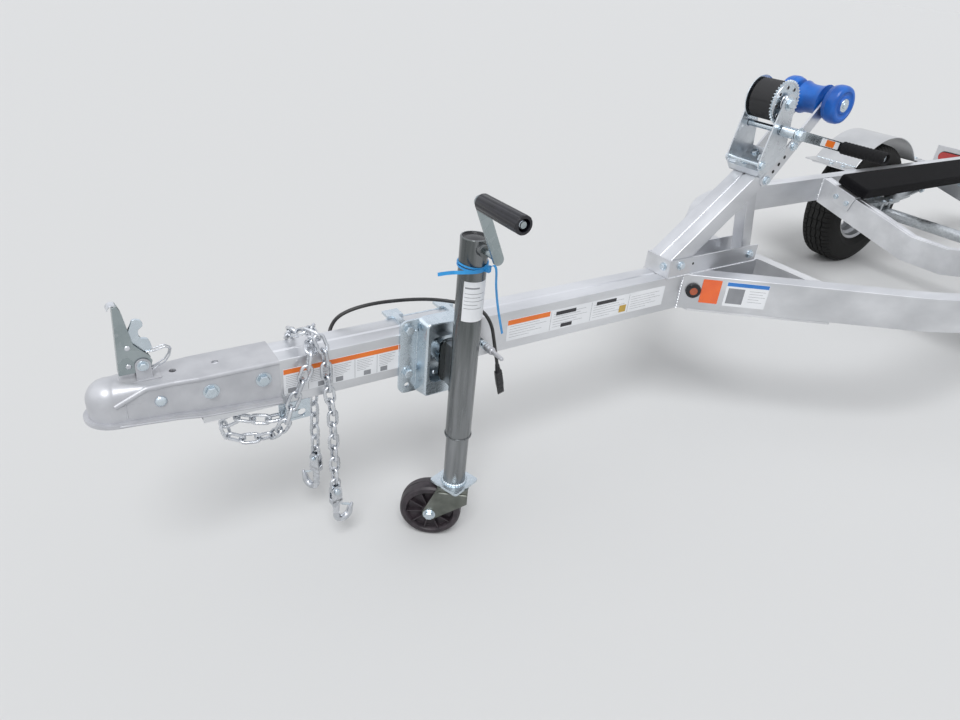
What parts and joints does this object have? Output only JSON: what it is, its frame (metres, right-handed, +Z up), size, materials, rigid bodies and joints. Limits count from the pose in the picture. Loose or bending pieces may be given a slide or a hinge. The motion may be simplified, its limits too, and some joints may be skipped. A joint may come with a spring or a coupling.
{
  "type": "boat trailer",
  "caption": "Small bunk boat trailer of bare aluminium box section on leaf springs, with ball coupler, winch post, bow roller and swivel jack.",
  "frame": {"origin": "on the ground, in the middle of the trailer's length and width", "axes": "+X to the rear, +Y to the trailer's right side, +Z up"},
  "size_m": [5.1, 1.58, 1.017],
  "materials": {
    "bare_aluminium": "mill finish, bare",
    "galvanised": "galvanised, dull",
    "zinc": "bright zinc plate",
    "grey_paint": "light grey, satin",
    "dark_paint": "dark olive, satin",
    "silver_paint": "silver, satin",
    "black_plastic": "black, matt",
    "foam": "black, open-pored",
    "webbing": "black woven strap",
    "blue_roller": "blue, satin",
    "tyre": "black, matt",
    "red_lens": "red, glossy",
    "amber_lens": "amber, glossy",
    "carpet": "black ribbed carpet",
    "cable_black": "black, satin"
  },
  "bodies": {
    "frame": {"axle": "galvanised", "bunk_brackets": "bare_aluminium", "bunk_left": "carpet", "bunk_right": "carpet", "cable_grommet": "cable_black", "chain_bracket": "galvanised", "chain_hook_one": "zinc", "chain_hook_two": "zinc", "coupler": "grey_paint", "crossmember_front": "bare_aluminium", "crossmember_middle": "bare_aluminium", "crossmember_rear": "bare_aluminium", "end_caps": "black_plastic", "fender_brackets": "bare_aluminium", "fender_left": "silver_paint", "fender_right": "silver_paint", "front_gusset": "bare_aluminium", "jack_mount": "zinc", "post_shoe": "bare_aluminium", "post_strut": "bare_aluminium", "rail_left": "bare_aluminium", "rail_right": "bare_aluminium", "roller_arms": "bare_aluminium", "safety_chain_one": "zinc", "safety_chain_two": "zinc", "side_markers": "amber_lens", "spring_left": "galvanised", "spring_right": "galvanised", "tail_lamp_plates": "bare_aluminium", "tail_lamps": "red_lens", "tongue": "bare_aluminium", "winch_frame": "zinc", "winch_post": "bare_aluminium", "wiring_cable": "cable_black", "wiring_plug": "black_plastic"},
    "wheel_left": {"tyre_left": "tyre", "rim_left": "silver_paint"},
    "wheel_right": {"tyre_right": "tyre", "rim_right": "silver_paint"},
    "jack_leg": {"jack_outer_tube": "galvanised", "jack_cap": "galvanised"},
    "jack_foot": {"jack_inner_tube": "zinc"},
    "caster": {"caster_yoke": "dark_paint"},
    "caster_wheel": {"caster_wheel": "black_plastic"},
    "jack_crank": {"jack_crank": "zinc", "jack_crank_grip": "foam"},
    "winch_drum": {"winch_drum": "zinc", "winch_strap": "webbing"},
    "winch_crank": {"winch_crank": "zinc", "winch_crank_grip": "foam"},
    "coupler_latch": {"coupler_latch": "zinc"},
    "bow_roller": {"bow_roller": "blue_roller"}
  },
  "joints": [
    {"name": "wheel_left_spin", "type": "hinge", "parent": "frame", "child": "wheel_left", "pos_m": [1.027, -0.668, 0.3], "axis": [0, 1, 0], "continuous": true},
    {"name": "wheel_right_spin", "type": "hinge", "parent": "frame", "child": "wheel_right", "pos_m": [1.027, 0.668, 0.3], "axis": [0, 1, 0], "continuous": true},
    {"name": "jack_swing", "type": "hinge", "parent": "frame", "child": "jack_leg", "pos_m": [-1.851, -0.14, 0.458], "axis": [0, -1, 0], "range_deg": [0, 90]},
    {"name": "jack_extend", "type": "slide", "parent": "jack_leg", "child": "jack_foot", "axis": [0, 0, 1], "range_m": [-0.15, 0.085]},
    {"name": "caster_swivel", "type": "hinge", "parent": "jack_foot", "child": "caster", "pos_m": [-1.851, -0.14, 0.153], "axis": [0, 0, 1], "continuous": true},
    {"name": "caster_wheel_spin", "type": "hinge", "parent": "caster", "child": "caster_wheel", "pos_m": [-1.89093, -0.10991, 0.073], "axis": [0.6018, 0.7986, 0], "continuous": true},
    {"name": "jack_crank_turn", "type": "hinge", "parent": "jack_leg", "child": "jack_crank", "pos_m": [-1.851, -0.19, 0.741], "axis": [0, 1, 0], "continuous": true},
    {"name": "winch_drum_turn", "type": "hinge", "parent": "frame", "child": "winch_drum", "pos_m": [-0.849, 0, 0.961], "axis": [0, 1, 0], "continuous": true},
    {"name": "winch_crank_turn", "type": "hinge", "parent": "frame", "child": "winch_crank", "pos_m": [-0.849, 0, 0.8938], "axis": [0, 1, 0], "continuous": true},
    {"name": "coupler_latch_turn", "type": "hinge", "parent": "frame", "child": "coupler_latch", "pos_m": [-2.443, 0, 0.548], "axis": [0, 1, 0], "range_deg": [0, 75]},
    {"name": "bow_roller_turn", "type": "hinge", "parent": "frame", "child": "bow_roller", "pos_m": [-0.659, 0, 0.959], "axis": [0, 1, 0], "continuous": true}
  ],
  "couplings": [
    {"joint": "winch_crank_turn", "follows": "winch_drum_turn", "ratio": -3.8}
  ]
}
